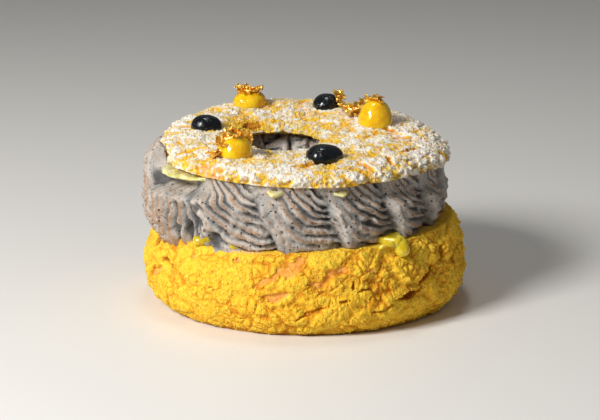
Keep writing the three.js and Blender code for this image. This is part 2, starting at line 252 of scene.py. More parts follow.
def makeGrain():
    # crumbly grain: Height for a bump, Tone and Gap for colour; Size in millimetres
    group, given, out = newGroup(
        "grain",
        {"Position": (vector, None), "Size": (number, 1.0), "Softness": (number, 0.5)},
        {"Height": number, "Tone": number, "Gap": number},
    )
    density = mathNode(group, "DIVIDE", 1.0, given["Size"])
    lumps = place(group, "ShaderNodeTexVoronoi", {"Vector": given["Position"], "Scale": density})
    rough = noiseNode(group, given["Position"], density, detail=4.0, roughness=0.65).outputs["Fac"]
    rounded = minus(group, 1.0, lumps.outputs["Distance"])
    height = plus(group, times(group, rounded, given["Softness"]), rough)
    group.links.new(height, out["Height"])
    group.links.new(spread(group, rough, 0.3, 0.7), out["Tone"])
    group.links.new(spread(group, lumps.outputs["Distance"], 0.4, 0.75), out["Gap"])
    return group


def makeSpecks():
    # scattered dots: Size is their spacing in millimetres, Amount the share of cells that hold one
    group, given, out = newGroup(
        "specks",
        {
            "Position": (vector, None),
            "Size": (number, 1.0),
            "Amount": (number, 0.5),
            "Reach": (number, 0.3),
        },
        {"Mask": number},
    )
    smallest, edge = 0.08, 0.08
    density = mathNode(group, "DIVIDE", 1.0, given["Size"])
    warp = noiseNode(group, given["Position"], 2.5, detail=2.0)
    shifted = place(
        group,
        "ShaderNodeVectorMath",
        {0: warp.outputs["Color"], 1: (0.5, 0.5, 0.5), 2: given["Position"]},
        operation="MULTIPLY_ADD",
    )
    dots = place(group, "ShaderNodeTexVoronoi", {"Vector": shifted.outputs[0], "Scale": density})
    chosen = place(group, "ShaderNodeSeparateColor", {0: dots.outputs["Color"]})
    kept = mathNode(group, "LESS_THAN", chosen.outputs[0], given["Amount"])
    size = plus(group, times(group, chosen.outputs[1], given["Reach"]), smallest)
    near = minus(group, size, dots.outputs["Distance"])
    group.links.new(times(group, spread(group, near, 0.0, edge), kept), out["Mask"])
    return group


grain = makeGrain()
specks = makeSpecks()


def newMaterial(name):
    material = bpy.data.materials.new(name)
    material.use_nodes = True
    tree = material.node_tree
    shader = tree.nodes["Principled BSDF"]
    # positions in millimetres
    inMetres = place(tree, "ShaderNodeTexCoord").outputs["Object"]
    scaled = place(tree, "ShaderNodeVectorMath", {0: inMetres, "Scale": 1 / mm}, operation="SCALE")
    return material, tree, shader, scaled.outputs[0]


def bump(tree, height, distance, strength):
    inputs = {"Height": height, "Distance": distance * mm, "Strength": strength}
    return place(tree, "ShaderNodeBump", inputs).outputs["Normal"]


# biscuit crust, on both halves

crust = {
    "plate": 9,  # size of the plates that the crust breaks into
    "flatness": 1.5,
    "crackEdges": (0.04, 0.34),
    "shut": 0.75,  # how far the shut cracks close
    "depth": 0.45,
    "wander": 1.8,
    "wanderSpan": 7,
    "crumb": 3,
    "roughness": 0.3,
    "clump": 2.9,  # clumps of grains, with shallow gaps between them
    "clumpBend": 0.7,
    "clumpDepth": 0.34,
    "swell": 0.35,
    "granule": 1.15,
    "granuleHeight": 0.3,
    "fineGranule": 0.62,
    "fineHeight": 0.16,
    "lemon": "#ffd840",
    "yolk": "#fabb16",
    "amber": "#e4960c",
    "crack": "#cf760a",
    # baked brown; in the deep cracks it is painted shade
    "bakedAndCrackShade": "#7e3c08",
    "pale": "#ffdf62",
    "choux": "#f4b45e",
    "chouxDeep": "#e8983c",
    "crumbPale": "#e8b47c",
    "sugar": "#fbf6ec",
    "sugarShade": "#ebe3d8",
}


def plateRelief(p, seed):
    # plates with deep cracks between them, as in the solids; also how far the crust is whole
    bend = crust["wander"] * noise(p / crust["wanderSpan"], seed + 5)
    bent = stack(p[..., 0] + bend, p[..., 1] - bend, crust["flatness"] * p[..., 2] + bend)
    nearest, second = cells(bent / crust["plate"], seed)
    whole = smoothStep(*crust["crackEdges"], second - nearest)
    # only part of the cracks is open
    shut = smoothStep(-0.25, 0.35, noise(p / 9, seed + 6))
    whole = mix(whole, 1, crust["shut"] * shut)
    crumbs = noise(p / crust["crumb"], seed + 9)
    return crust["depth"] * (whole - 1) + crust["roughness"] * crumbs, whole


def grainRelief(p, seed):
    # clumps and grains, finer than the solids hold
    bend = crust["clumpBend"] * stack(*(noise(p / 2.2, seed + n) for n in range(3)))
    nearest, second = cells((p + bend) / crust["clump"], seed + 3)
    clump = smoothStep(0.0, 0.26, second - nearest)
    clump = mix(clump, 1, 0.6 * smoothStep(-0.2, 0.5, noise(p / 6, seed + 4)))
    firstGrain, _ = cells((p + 0.4 * bend) / crust["granule"], seed + 7)
    fineGrain, _ = cells(p / crust["fineGranule"], seed + 11)
    height = crust["clumpDepth"] * (clump - 1) + crust["swell"] * layeredNoise(p / 5, seed + 14)
    height = height + crust["granuleHeight"] * (0.6 - firstGrain)
    return height + crust["fineHeight"] * (0.6 - fineGrain), clump


def gashMasks(along, across, gashes, p, seed, span=0):
    # along and across are millimetres on the surface, and along starts again after the span;
    # each gash has pointed, ragged ends and a raised lip on one side
    ragged = 0.9 * noise(p / 1.9, seed) + 0.6 * noise(p / 0.8, seed + 1)
    ragged = ragged + 0.3 * noise(p / 0.45, seed + 3)
    islands = smoothStep(-0.45, 0.05, noise(p / 1.1, seed + 4))
    openings, bare, lip = np.zeros((3, *along.shape))
    for atAlong, atAcross, length, width, tilt, depth, bareness in gashes:
        turn = math.radians(tilt)
        x = along - atAlong
        y = across - atAcross
        if span:
            x = (x + span / 2) % span - span / 2
        a = (x * math.cos(turn) + y * math.sin(turn) + ragged) / (length / 2)
        bend = 0.12 * length * noise(p / 4, seed + 2)
        b = (y * math.cos(turn) - x * math.sin(turn) + bend + 0.45 * ragged) / (width / 2)
        taper = np.clip(1 - a * a, 0, 1) ** 0.7
        inside = smoothStep(1.25, 0.75, np.abs(b) / np.maximum(taper, 0.02)) * (np.abs(a) < 1)
        openings = np.maximum(openings, depth * inside)
        bare = np.maximum(bare, bareness * inside * mix(0.45, 1, islands))
        edge = np.exp(-(((b - 1.5) / 0.8) ** 2)) * np.clip(1 - a * a, 0, 1)
        lip = np.maximum(lip, 0.3 * depth * edge)
    return openings, bare, lip


def makeCrustMaterial(name, sugared):
    material, tree, shader, position = newMaterial(name)
    shades = ("whole", "bare", "cut", "bakedAndCrackShade", "tint")
    whole, bare, cut, bakedAndCrackShade, tint = (attribute(tree, shade) for shade in shades)
    coarse = useGroup(tree, grain, {"Position": position, "Size": 1.25, "Softness": 0.8})
    fine = useGroup(tree, grain, {"Position": position, "Size": 0.5, "Softness": 0.9})
    dots = useGroup(tree, specks, {"Position": position, "Size": 1.3, "Amount": 0.35, "Reach": 0.16})
    broad = noiseNode(tree, position, 0.3, detail=5.0).outputs["Fac"]
    layers = [
        ("yolk", spread(tree, broad, 0.35, 0.65), 0.5),
        ("yolk", coarse["Tone"], 0.55),
        ("pale", fine["Tone"], 0.3),
        ("pale", tint, 0.7),
        ("amber", coarse["Gap"], 0.3),
        ("amber", fine["Gap"], 0.22),
        # the crack colour is partly the cracks' real colour and partly painted shade, strongest in the
        # deep cracks
        ("crack", spread(tree, whole, 0.7, 0.05), 0.8),
        ("bakedAndCrackShade", bakedAndCrackShade, 1.0),
    ]
    tone = layColours(tree, colour(crust["lemon"]), crust, layers)
    choux = layColours(tree, colour(crust["choux"]), crust, [("chouxDeep", coarse["Tone"], 1.0)])
    tone = blendColours(tree, spread(tree, bare, 0.15, 0.75), tone, choux)
    tone = layColours(tree, tone, crust, [("crumbPale", cut, 1.0), ("bakedAndCrackShade", dots["Mask"], 0.5)])
    height = plus(tree, fine["Height"], times(tree, coarse["Height"], 1.6))
    height = times(tree, height, minus(tree, 1.15, times(tree, bare, 0.85)))
    if sugared:
        powder = noiseNode(tree, position, 0.75, detail=7.0, roughness=0.8).outputs["Fac"]
        ragged = times(tree, minus(tree, powder, 0.5), 2.0)
        cover = plus(tree, attribute(tree, "sugar"), ragged)
        cover = minus(tree, cover, times(tree, coarse["Gap"], 0.2))
        cover = spread(tree, cover, 0.2, 0.8)
        white = layColours(tree, colour(crust["sugarShade"]), crust, [("sugar", fine["Tone"], 1.0)])
        tone = blendColours(tree, times(tree, cover, 0.92), tone, white)
        height = plus(tree, height, times(tree, cover, 0.8))
    setSockets(
        tree,
        shader,
        {
            "Base Color": tone,
            "Roughness": 0.85,
            "Specular IOR Level": 0.2,
            "Normal": bump(tree, height, 0.2, 0.85),
            "Subsurface Weight": 0.3,
            "Subsurface Radius": (1.0, 0.6, 0.2),
            "Subsurface Scale": 0.9 * mm,
        },
    )
    return material


baseCrust = makeCrustMaterial("baseCrust", False)
sugaredCrust = makeCrustMaterial("sugaredCrust", True)

# rough crumbs, each partly sunk in the crust
crumbs = {
    "size": (0.16, 0.42),
    "stretch": (0.75, 1.2),
    "sunk": 0.2,  # share of the size
    "sugarChange": (0.02, 0.1),
    "baseCrumbs": {"count": 9000, "seed": 61},
    "lidCrumbs": {"count": 12000, "seed": 71},
}


def addCrumbs(name, material, grid, outward, rows, skip, sugar=None):
    # at random places on the grid's rows, where skip is low
    count, seed = crumbs[name]["count"], crumbs[name]["seed"]
    draw = np.random.default_rng(seed)
    i = draw.integers(0, len(grid), count * 2)
    j = draw.integers(*rows, count * 2)
    kept = draw.random(count * 2) > skip[i, j]
    i, j = i[kept][:count], j[kept][:count]
    count = len(i)
    draw = np.random.default_rng(seed + 1)
    size = draw.uniform(*crumbs["size"], count)
    shades = {"whole": np.ones(count), "tint": draw.random(count) ** 2}
    if sugar is not None:
        change = draw.normal(*crumbs["sugarChange"], count)
        shades["sugar"] = np.clip(sugar[i, j] + change, 0, 1)
    draw = np.random.default_rng(seed + 2)
    corners = np.array([(1, 0, 0), (-1, 0, 0), (0, 1, 0), (0, -1, 0), (0, 0, 1), (0, 0, -1)], float)
    upper = [(0, 2, 4), (2, 1, 4), (1, 3, 4), (3, 0, 4)]
    lower = [(2, 0, 5), (1, 2, 5), (3, 1, 5), (0, 3, 5)]
    turns = np.linalg.qr(draw.normal(size=(count, 3, 3)))[0]
    turns[:, :, 0] *= np.sign(np.linalg.det(turns))[:, None]
    stretch = draw.uniform(*crumbs["stretch"], (count, 6, 1))
    local = corners[None] * stretch * size[:, None, None]
    centres = grid[i, j] - outward[i, j] * size[:, None] * crumbs["sunk"]
    points = np.einsum("nij,nkj->nki", turns, local) + centres[:, None]
    faces = (np.array(upper + lower)[None] + 6 * np.arange(count)[:, None, None]).reshape(-1, 3)
    shades = {shade: np.repeat(values, 6) for shade, values in shades.items()}
    addPiece(name, points, faces, material, shades=shades)


# bottom half

bun = {
    "radius": 44.9,
    "widestAt": 11,
    "footRadius": 40,
    "footFullness": 3.4,
    "cutFullness": 2.6,
    "cutRadius": 41,
    "cutHeight": 22.8,
    "cutSlope": 0.03,
    "unevenness": 0.7,
    "holeEdge": 0.8,
    "coarseness": 1.55,  # of the crust's relief on the right
    "bareSwell": 0.105,
    "rimRaggedness": 0.35,
    "cutRoughness": 0.22,
    "holeHollow": 0.4,
    "openAt": 244,  # degrees where the cut face shows its crumb up to the rim
    "openWidth": 9,
    "steps": 860,
    "wallRows": 84,
    "holeRows": 14,
    # rows on the cut face and under the foot, as shares of the way
    "cutRows": [0.006, 0.014, 0.024, 0.036, 0.05, 0.07, 0.1, 0.15, 0.22, 0.35, 0.55, 0.8, 0.95],
    "footRows": [0.04, 0.3, 0.6, 0.85, 0.96],
}
hole = {"x": -6.5, "y": 0, "baseRadius": 9.5, "lidRadius": 10.6, "lidUnevenness": 0.9}

# openings in the crust of the bottom half: degrees round the ring, height, length, width, tilt, depth
# and how bare it is, from 0 for a deep crack to 1 where smooth choux shows
wallGashes = [
    (-81.5, 17.0, 13.5, 2.3, 14, 0.9, 0.85),
    (-95.0, 19.6, 9.5, 3.2, 26, 0.7, 0.65),
    (-103.5, 16.2, 7.5, 1.9, 32, 0.6, 0.8),
    (-99.8, 11.9, 7.4, 2.7, 10, 0.9, 1),
    (-67.0, 17.7, 2.6, 1.3, 10, 0.5, 0.8),
    (-133.9, 19.2, 1.9, 1.1, 10, 0.5, 0.9),
    (-115.1, 20.3, 1.8, 1.3, -20, 0.5, 0.9),
    (-123.0, 16.7, 1.6, 1.0, 30, 0.5, 0.9),
    (-129.5, 12.8, 1.8, 0.9, 0, 0.4, 0.9),
    (-51.8, 9.4, 10, 1.6, 9, 1.7, 0),
    (-43.0, 14.0, 7, 2.2, 32, 1.7, 0),
    (-73.4, 14.2, 1.6, 1.0, 70, 0.9, 0),
    (-70.0, 12.8, 2.4, 0.9, 10, 0.9, 0),
    (-77.0, 10.3, 1.9, 1.0, 0, 0.9, 0),
    (-25.6, 16.0, 9, 1.4, 84, 1.1, 0),
    (-33.0, 18.0, 5, 1.2, 62, 0.9, 0),
    (-64.0, 6.6, 8, 1.1, 14, 0.8, 0),
    (-88.0, 7.0, 9, 1.1, 18, 0.6, 0),
]
# more of them at random on the far side, between the lowest and highest values
hiddenGashes = {
    "count": 26,
    "seed": 5,
    "turn": (-15, 215),
    "height": (6, 20),
    "tilt": (15, 25),  # middle and spread
    "bareShare": 0.45,
    "bare": {"length": (2, 12), "width": (0.9, 2.8), "depth": (0.5, 0.9)},
    "cracked": {"length": (2, 9), "width": (0.9, 1.7), "depth": (0.7, 1.5)},
}


def cutFaceHeight(x):
    return bun["cutHeight"] + bun["cutSlope"] * x


def bunWall(angle, share):
    upper = share > 0
    edge = np.where(upper, bun["cutRadius"], bun["footRadius"])
    fullness = np.where(upper, bun["cutFullness"], bun["footFullness"])
    swell = bun["unevenness"] * noise(stack(2 * np.cos(angle), 2 * np.sin(angle), share), 31)
    radius = edge + (bun["radius"] - edge) * (1 - np.abs(share) ** fullness) + swell * (1 - share**4)
    x, y = radius * np.cos(angle), radius * np.sin(angle)
    rise = np.where(upper, cutFaceHeight(x) - bun["widestAt"], bun["widestAt"])
    return stack(x, y, bun["widestAt"] + share * rise)


def moreGashes():
    draw = np.random.default_rng(hiddenGashes["seed"])
    made = []
    for _ in range(hiddenGashes["count"]):
        bare = draw.random() < hiddenGashes["bareShare"]
        kind = hiddenGashes["bare" if bare else "cracked"]
        spot = [draw.uniform(*hiddenGashes[way]) for way in ("turn", "height")]
        size = [draw.uniform(*kind[way]) for way in ("length", "width")]
        tilt = draw.normal(*hiddenGashes["tilt"])
        depth = draw.uniform(*kind["depth"])
        made.append((*spot, *size, tilt, depth, draw.uniform(0.7, 1) if bare else 0))
    return made


def buildBase():
    steps, rows = bun["steps"], bun["wallRows"]
    angles = fullTurn(steps)[:, None]
    # rows lie closer at the foot and at the cut
    t = np.linspace(-1, 1, rows)[None, :]
    share = 0.55 * t + 0.45 * np.sin(t * math.pi / 2)
    wall = bunWall(angles, share)
    normal = gridNormals(wall, closeRows=False)
    relief, whole = plateRelief(wall, 11)
    grains, clump = grainRelief(wall, 111)
    coarser = mix(1, bun["coarseness"], smoothStep(-25, 25, wall[..., 0]))
    gashes = [
        (math.radians(turn) * bun["radius"], *rest)
        for turn, *rest in wallGashes + moreGashes()
    ]
    along = angles * bun["radius"] + 0 * share
    ring = 2 * math.pi * bun["radius"]
    openings, bare, lip = gashMasks(along, wall[..., 2], gashes, wall, 151, ring)
    smooth = bun["bareSwell"] * noise(wall / 2.5, 171)
    relief = mix((relief + grains) * coarser + lip, smooth, np.clip(bare * 1.1, 0, 1)) - openings
    keep = 1 - share**12  # the relief fades out at the cut and at the foot
    wall = wall + normal * (relief * keep)[..., None]
    out = stack(np.cos(angles), np.sin(angles), 0)[:, 0]
    ragged = noise(wall[:, -1] / 1.5, 181)[:, None] * bun["rimRaggedness"]
    wall[:, -1] = wall[:, -1] + out * ragged
    foot, rim = wall[:, 0], wall[:, -1]
    inner = stack(hole["x"], hole["y"], 0) + out * hole["baseRadius"]
    innerTop = cutFaceHeight(inner[:, 0])
    parts = [wall]
    for inward in bun["cutRows"]:
        p = mix(rim, inner, inward)
        p[:, 2] = mix(rim[:, 2], innerTop, inward) + bun["cutRoughness"] * noise(p / 1.1, 191)
        parts.append(p[:, None])
    for depth in np.linspace(0, 1, bun["holeRows"]):
        p = inner - out * (bun["holeHollow"] * math.sin(depth * math.pi))
        p[:, 2] = mix(innerTop - bun["holeEdge"], bun["holeEdge"], depth)
        p = p + out * 0.4 * noise(p / 1.8, 193)[:, None]
        parts.append(p[:, None])
    for outwards in bun["footRows"]:
        p = mix(inner, foot, outwards)
        p[:, 2] = 0
        parts.append(p[:, None])
    points = np.concatenate(parts, 1)
    total = points.shape[1]
    # where the crumb shows, where the crust is dark and where its cracks are
    onCut = slice(rows, rows + len(bun["cutRows"]))
    opened = nearTurn(np.degrees(angles), bun["openAt"], bun["openWidth"])
    cut = np.zeros((steps, total))
    cut[:, onCut] = np.maximum(smoothStep(0.02, 0.2, np.array(bun["cutRows"])), opened)
    cut[:, rows - 3:rows] = 0.8 * opened
    bakedAndCrackShade = fillRows(0.55 * smoothStep(-0.82, -1.0, share) + np.zeros((steps, 1)), total, 0.35)
    bakedAndCrackShade[:, onCut] = 0
    # painted shade: the deep cracks get the baked brown
    deep = np.clip(openings * (1 - bare) - 0.5, 0, 1)
    bakedAndCrackShade[:, :rows] = np.maximum(bakedAndCrackShade[:, :rows], 0.8 * deep)
    # real crack colour, and painted shade where the cracks are deep
    cracked = mix(1, whole, 0.55) * mix(1, clump, 0.85) - 0.75 * np.minimum(openings, 1) * (1 - bare)
    skip = np.clip(1.3 * bare + openings * (1 - bare), 0, 1)
    outward = gridNormals(wall, closeRows=False)
    addCrumbs("baseCrumbs", baseCrust, wall, outward, (4, rows), skip)
    shades = {
        "whole": fillRows(np.clip(cracked, 0, 1), total, 0.8),
        "bare": fillRows(bare, total, 0),
        "cut": cut,
        "bakedAndCrackShade": bakedAndCrackShade,
    }
    faces = gridFaces(steps, total)
    addPiece("baseCrust", points, faces, baseCrust, ["base_choux"], shades)


# lid

lid = {
    "x": 0.6,
    "radius": 40.2,
    "underside": 41.9,
    "riseToBack": 0.05,
    "fallToRight": 0.019,
    "sag": 2.2,
    "unevenness": 0.7,
    "chip": 3.2,
    "chipAt": -38,
    "holeEdge": 1.7,
    "holeTear": 1.4,
    "edge": 1.6,
    "leftEdge": 4,
    "frontHeight": 4.1,
    "backHeight": 5.6,
    "crest": 0.65,
    "coarseness": 1.8,  # of the grains on the right
    "bareSwell": 0.1,
    "bakedAt": (-15, 10.5),  # a bare, baked spot behind the hole
    "bakedSpan": (5, 4),
    # icing sugar: how much lies everywhere, then what adds to it or takes it away
    "sugar": 0.75,
    "sugarOnRight": 0.14,
    "sugarPatches": 0.6,
    "sugarOnHeights": 0.5,
    "sugarOnBare": 0.25,
    "lostAtHole": 0.3,
    "lostInCracks": 0.5,
    "lostOnBaked": 0.8,
    "steepShare": 0.8,
    "steps": 820,
    "rows": 92,
    "rimRows": 9,
    "underRows": [0.02, 0.05, 0.1, 0.2, 0.4, 0.6, 0.8, 0.93, 0.98],  # shares of the way from the hole
}

# openings in the lid's crust: x, y, length, width, tilt, depth and how bare
lidGashes = [
    (25.4, -0.4, 8.5, 3.4, -70, 0.8, 1),
    (23.6, 5.5, 5, 1.8, -50, 1.2, 0),
    (-25.5, -30.5, 10, 2.2, -38, 0.5, 0.8),
    (15.6, -29.0, 9, 1.2, -68, 0.9, 0.3),
    (22.3, -23.0, 7, 1.3, -80, 0.9, 0.3),
    (28.0, -13.0, 6, 1.3, 42, 1.0, 0),
    (33.0, -9.0, 7, 1.1, -25, 0.8, 0),
    (-31.0, -18.0, 9, 2.4, 14, 0.6, 0),
    (-24.0, -25.5, 8, 1.8, 10, 0.6, 0),
    (2.0, -30.0, 14, 1.7, 32, 0.8, 0),
    (-14.7, 11.8, 6, 3.6, 30, 0.6, 0),
]


def lidUnderside(x, y):
    end = x / lid["radius"]
    return lid["underside"] + lid["riseToBack"] * y - lid["fallToRight"] * x - lid["sag"] * end**4


def lidThickness(angle, share):
    crown = mix(lid["frontHeight"], lid["backHeight"], (1 + np.sin(angle)) / 2)
    climb = mix(crown, lid["holeEdge"], np.clip(1 - share / lid["crest"], 0, 1) ** 1.8)
    edge = mix(lid["edge"], lid["leftEdge"], np.maximum(0, -np.cos(angle)) ** 2)
    past = np.clip((share - lid["crest"]) / (1 - lid["crest"]), 0, 1)
    return np.where(share < lid["crest"], climb, mix(edge, crown, (1 - past**2.6) ** 0.6))


def lidRadii(angle):
    x, y = np.cos(angle), np.sin(angle)
    inner = hole["lidRadius"] + hole["lidUnevenness"] * noise(stack(3 * x, 3 * y, 1), 41)
    chip = lid["chip"] * np.maximum(0, np.cos(angle - math.radians(lid["chipAt"]))) ** 8
    outer = lid["radius"] - chip + lid["unevenness"] * noise(stack(2.5 * x, 2.5 * y, 2), 42)
    return inner, outer


def lidPoint(angle, share, lift):
    inner, outer = lidRadii(angle)
    x = mix(hole["x"] + inner * np.cos(angle), lid["x"] + outer * np.cos(angle), share)
    y = mix(hole["y"] + inner * np.sin(angle), outer * np.sin(angle), share)
    return stack(x, y, lidUnderside(x, y) + lift)


def lidTop(x, y):
    angle = np.arctan2(y - hole["y"], x - hole["x"])
    inner, outer = lidPoint(angle, 0.0, 0.0), lidPoint(angle, 1.0, 0.0)
    span = np.hypot(outer[..., 0] - inner[..., 0], outer[..., 1] - inner[..., 1])
    share = np.hypot(x - inner[..., 0], y - inner[..., 1]) / span
    return lidUnderside(x, y) + lidThickness(angle, np.clip(share, 0, 1))


def tornEdge(p):
    return 1.1 * noise(p / 2, 285) + 0.5 * noise(p / 0.8, 286)


def fromHole(p):
    return np.hypot(p[..., 0] - hole["x"], p[..., 1] - hole["y"]) - hole["lidRadius"]


def buildLid():
    steps, rows = lid["steps"], lid["rows"]
    angles = fullTurn(steps)[:, None]
    # side is 1 at the rim and -1 at the hole
    way = np.linspace(0, 1, rows)[None, :]
    side = np.cos(math.pi * mix(way, smoothStep(0, 1, way), -0.35))
    share = (1 + side) / 2
    top = lidPoint(angles, share, lidThickness(angles, share))
    out = stack(np.cos(angles), np.sin(angles), 0)
    lean = out * side[..., None] ** 3 + stack(0, 0, 1.2 - side * side)
    # rows up the rim, then over the top to the hole
    climb = (np.arange(lid["rimRows"]) + 0.7)[None, :, None] / lid["rimRows"]
    rim = mix(lidPoint(angles, 1.0, 0.0), top[:, :1], climb)
    top = np.concatenate([rim, top], 1)
    lean = np.concatenate([out + 0 * rim, lean], 1)
    lean = lean / lengthOf(lean)
    side = np.concatenate([np.ones(lid["rimRows"]), side[0]])[None, :]
    rows = rows + lid["rimRows"]
    relief, whole = plateRelief(top, 21)
    grains, clump = grainRelief(top, 211)
    openings, bare, lip = gashMasks(top[..., 0], top[..., 1], lidGashes, top, 251)
    right = smoothStep(5, 38, top[..., 0])
    smooth = lid["bareSwell"] * noise(top / 2.5, 271)
    relief = relief + mix(1, lid["coarseness"], right) * grains + lip
    relief = mix(relief, smooth, np.clip(bare * 1.1, 0, 1)) - openings
    rimRagged = 0.7 * noise(top / 1.4, 281) + 0.4 * noise(top / 0.65, 282)
    relief = relief + rimRagged * smoothStep(0.85, 1.0, np.abs(side))
    crustPoints = top + lean * relief[..., None]
    under = np.concatenate([lidPoint(angles, inward, 0.0) for inward in lid["underRows"]], 1)
    under[..., 2] = under[..., 2] + 0.15 * noise(under / 1.4, 291)
    # the underside is torn away round the hole
    away = fromHole(under)
    under[..., 2] = under[..., 2] + lid["holeTear"] * smoothStep(3.5, 0, away)
    under = under + out * (tornEdge(under) * smoothStep(2, 0, away))[..., None]
    low = crustPoints[..., 2] - top[..., 2].min()
    inside = smoothStep(-0.4, -1.0, side) * smoothStep(2.5, 0, low)
    crustPoints[..., 2] = crustPoints[..., 2] + 0.5 * lid["holeTear"] * inside
    crustPoints = crustPoints + out * (tornEdge(top) * smoothStep(-0.75, -1, side))[..., None]
    points = np.concatenate([crustPoints, under], 1)
    total = points.shape[1]
    # icing sugar lies on what faces up, thinner in the cracks and near the hole
    deepCracks = np.minimum(openings, 1) * (1 - bare)
    upward = smoothStep(-0.1, 0.45, gridNormals(top, closeRows=False)[..., 2])
    patchy = 0.6 * noise(top / 1.3, 301) + 0.4 * noise(top / 4, 302)
    height = np.clip(relief - 0.35 * clump + 0.2, -1, 0.5)
    sugar = lid["sugar"] + lid["sugarOnRight"] * right + lid["sugarPatches"] * patchy
    sugar = sugar + lid["sugarOnHeights"] * height
    nearHole = smoothStep(9, 0, fromHole(top)) * smoothStep(-8, 8, top[..., 0] + top[..., 1])
    sugar = sugar - lid["lostAtHole"] * nearHole
    sugar = sugar * mix(lid["steepShare"], 1, upward)
    sugar = sugar - lid["lostInCracks"] * deepCracks + lid["sugarOnBare"] * bare
    fromSpot = (top[..., :2] - lid["bakedAt"]) / lid["bakedSpan"]
    behind = np.exp(-(fromSpot**2).sum(-1))
    sugar = sugar - lid["lostOnBaked"] * behind
    # the real baked spot behind the hole, and painted shade in the deep cracks
    bakedAndCrackShade = 0.85 * behind + 0.55 * np.clip(openings * (1 - bare) - 0.75, 0, 1)
    # real crack colour, and painted shade where the cracks are deep
    cracked = mix(1, whole, 0.5) * mix(1, clump, 0.5) - 0.8 * deepCracks
    cut = np.zeros((steps, total))
    cut[:, rows + 2:-1] = 0.9
    skip = np.clip(4 * bare + 2 * openings, 0, 1)
    addCrumbs("lidCrumbs", sugaredCrust, crustPoints, lean, (1, rows - 2), skip, sugar)
    shades = {
        "whole": fillRows(np.clip(cracked, 0, 1), total, 0.9),
        "bare": fillRows(bare, total, 0),
        "cut": cut,
        "bakedAndCrackShade": fillRows(bakedAndCrackShade, total, 0),
        "sugar": fillRows(np.clip(sugar, 0, 1), total, 0),
    }
    faces = gridFaces(steps, total)
    addPiece("lidCrust", points, faces, sugaredCrust, ["lid_choux"], shades)


# sesame cream

cream = {
    "x": -4.5,
    "radius": 26.9,
    "reach": 15.7,
    "rightReach": 2,
    "topReach": 14,
    "squareness": 3,
    "loops": 14,
    "loopDepth": 3.3,
    "ridgeGap": 2.45,
    "ridgeDepth": 1.8,
    "swirlAlong": 1.15,  # the ridges of a loop circle a point: share of the loop, then height
    "swirlHeight": 17,
    "ribbedLoop": 12,  # the loop at the left, whose ridges stand nearly upright
    "ribbedAlong": 2.1,
    "ribbedHeight": 3,
    "ribbedGap": 1.3,  # how much wider its ridges are spaced
    "surge": 1.2,
    "crowding": 0.25,
    "leftSwell": 0.8,
    # places round the ring, in degrees: where it is, then how wide
    "smoothBlob": (184, 15),
    "teeth": (184, 14),
    "bulge": (182, 17),
    "tucked": (211, 20),
    "pits": 0.55,
    "torn": 0.42,
    "ripped": 0.3,
    "lumps": 0.45,
    "fineLumps": 0.16,
    "toothGap": 2.3,
    "start": -120,
    "columns": 650,
    "outerRows": 100,
    "innerRows": 40,
    "pale": "#c9beb2",
    "grey": "#a5a29d",
    "crest": "#a98260",
    # painted shade for the valleys and dents, and also the colour of the fine dark dust specks
    "valleyShadeAndDust": "#3f3d3e",
    "sesame": "#15161a",
    "husk": "#6b4a33",
}
# degrees round the ring, height, radius and depth of a hollow in the cream
creamHollows = [
    (198, 36.9, 2.0, 4.5),
    (233, 33, 1.6, 2.0),
    (232.5, 28.5, 2.2, 2.6),
    (302, 30, 1.3, 1.5),
    (226, 24.5, 2.8, 3.2),
    (241, 24.0, 2.4, 2.6),
    (184, 32.2, 1.6, 2.0),
]


def loopHeight(share):
    return smoothStep(0, 0.1, share) * (1 - share**1.8)


def makeCreamMaterial():
    material, tree, shader, position = newMaterial("sesameCream")
    crest = attribute(tree, "crest")
    smear = useGroup(tree, grain, {"Position": position, "Size": 0.9, "Softness": 0.35})
    fine = useGroup(tree, grain, {"Position": position, "Size": 0.35, "Softness": 0.3})
    seeds = useGroup(tree, specks, {"Position": position, "Size": 1.1, "Amount": 0.65, "Reach": 0.28})
    dust = useGroup(tree, specks, {"Position": position, "Size": 0.6, "Amount": 0.6, "Reach": 0.28})
    husks = useGroup(tree, specks, {"Position": position, "Size": 1.9, "Amount": 0.35, "Reach": 0.24})
    broad = noiseNode(tree, position, 0.2, detail=3.0).outputs["Fac"]
    browned = times(tree, spread(tree, crest, 0.45, 0.88), spread(tree, smear["Height"], 0.35, 0.75))
    layers = [
        ("grey", spread(tree, broad, 0.35, 0.65), 1.0),
        ("grey", smear["Tone"], 0.35),
        ("crest", browned, 0.95),
        # painted shade: dark where crest is low, in the ridge valleys, the steps between loops, the
        # pits and the hollows
        ("valleyShadeAndDust", spread(tree, crest, 0.5, 0.0), 0.88),
        ("valleyShadeAndDust", dust["Mask"], 0.6),
        ("husk", husks["Mask"], 0.8),
        ("sesame", seeds["Mask"], 0.92),
    ]
    height = plus(tree, smear["Height"], times(tree, fine["Height"], 0.5))
    setSockets(
        tree,
        shader,
        {
            "Base Color": layColours(tree, colour(cream["pale"]), cream, layers),
            "Roughness": 0.55,
            "Specular IOR Level": 0.35,
            "Normal": bump(tree, height, 0.36, 0.95),
            "Subsurface Weight": 0.1,
            "Subsurface Radius": (0.9, 0.7, 0.5),
            "Subsurface Scale": 1.0 * mm,
        },
    )
    return material


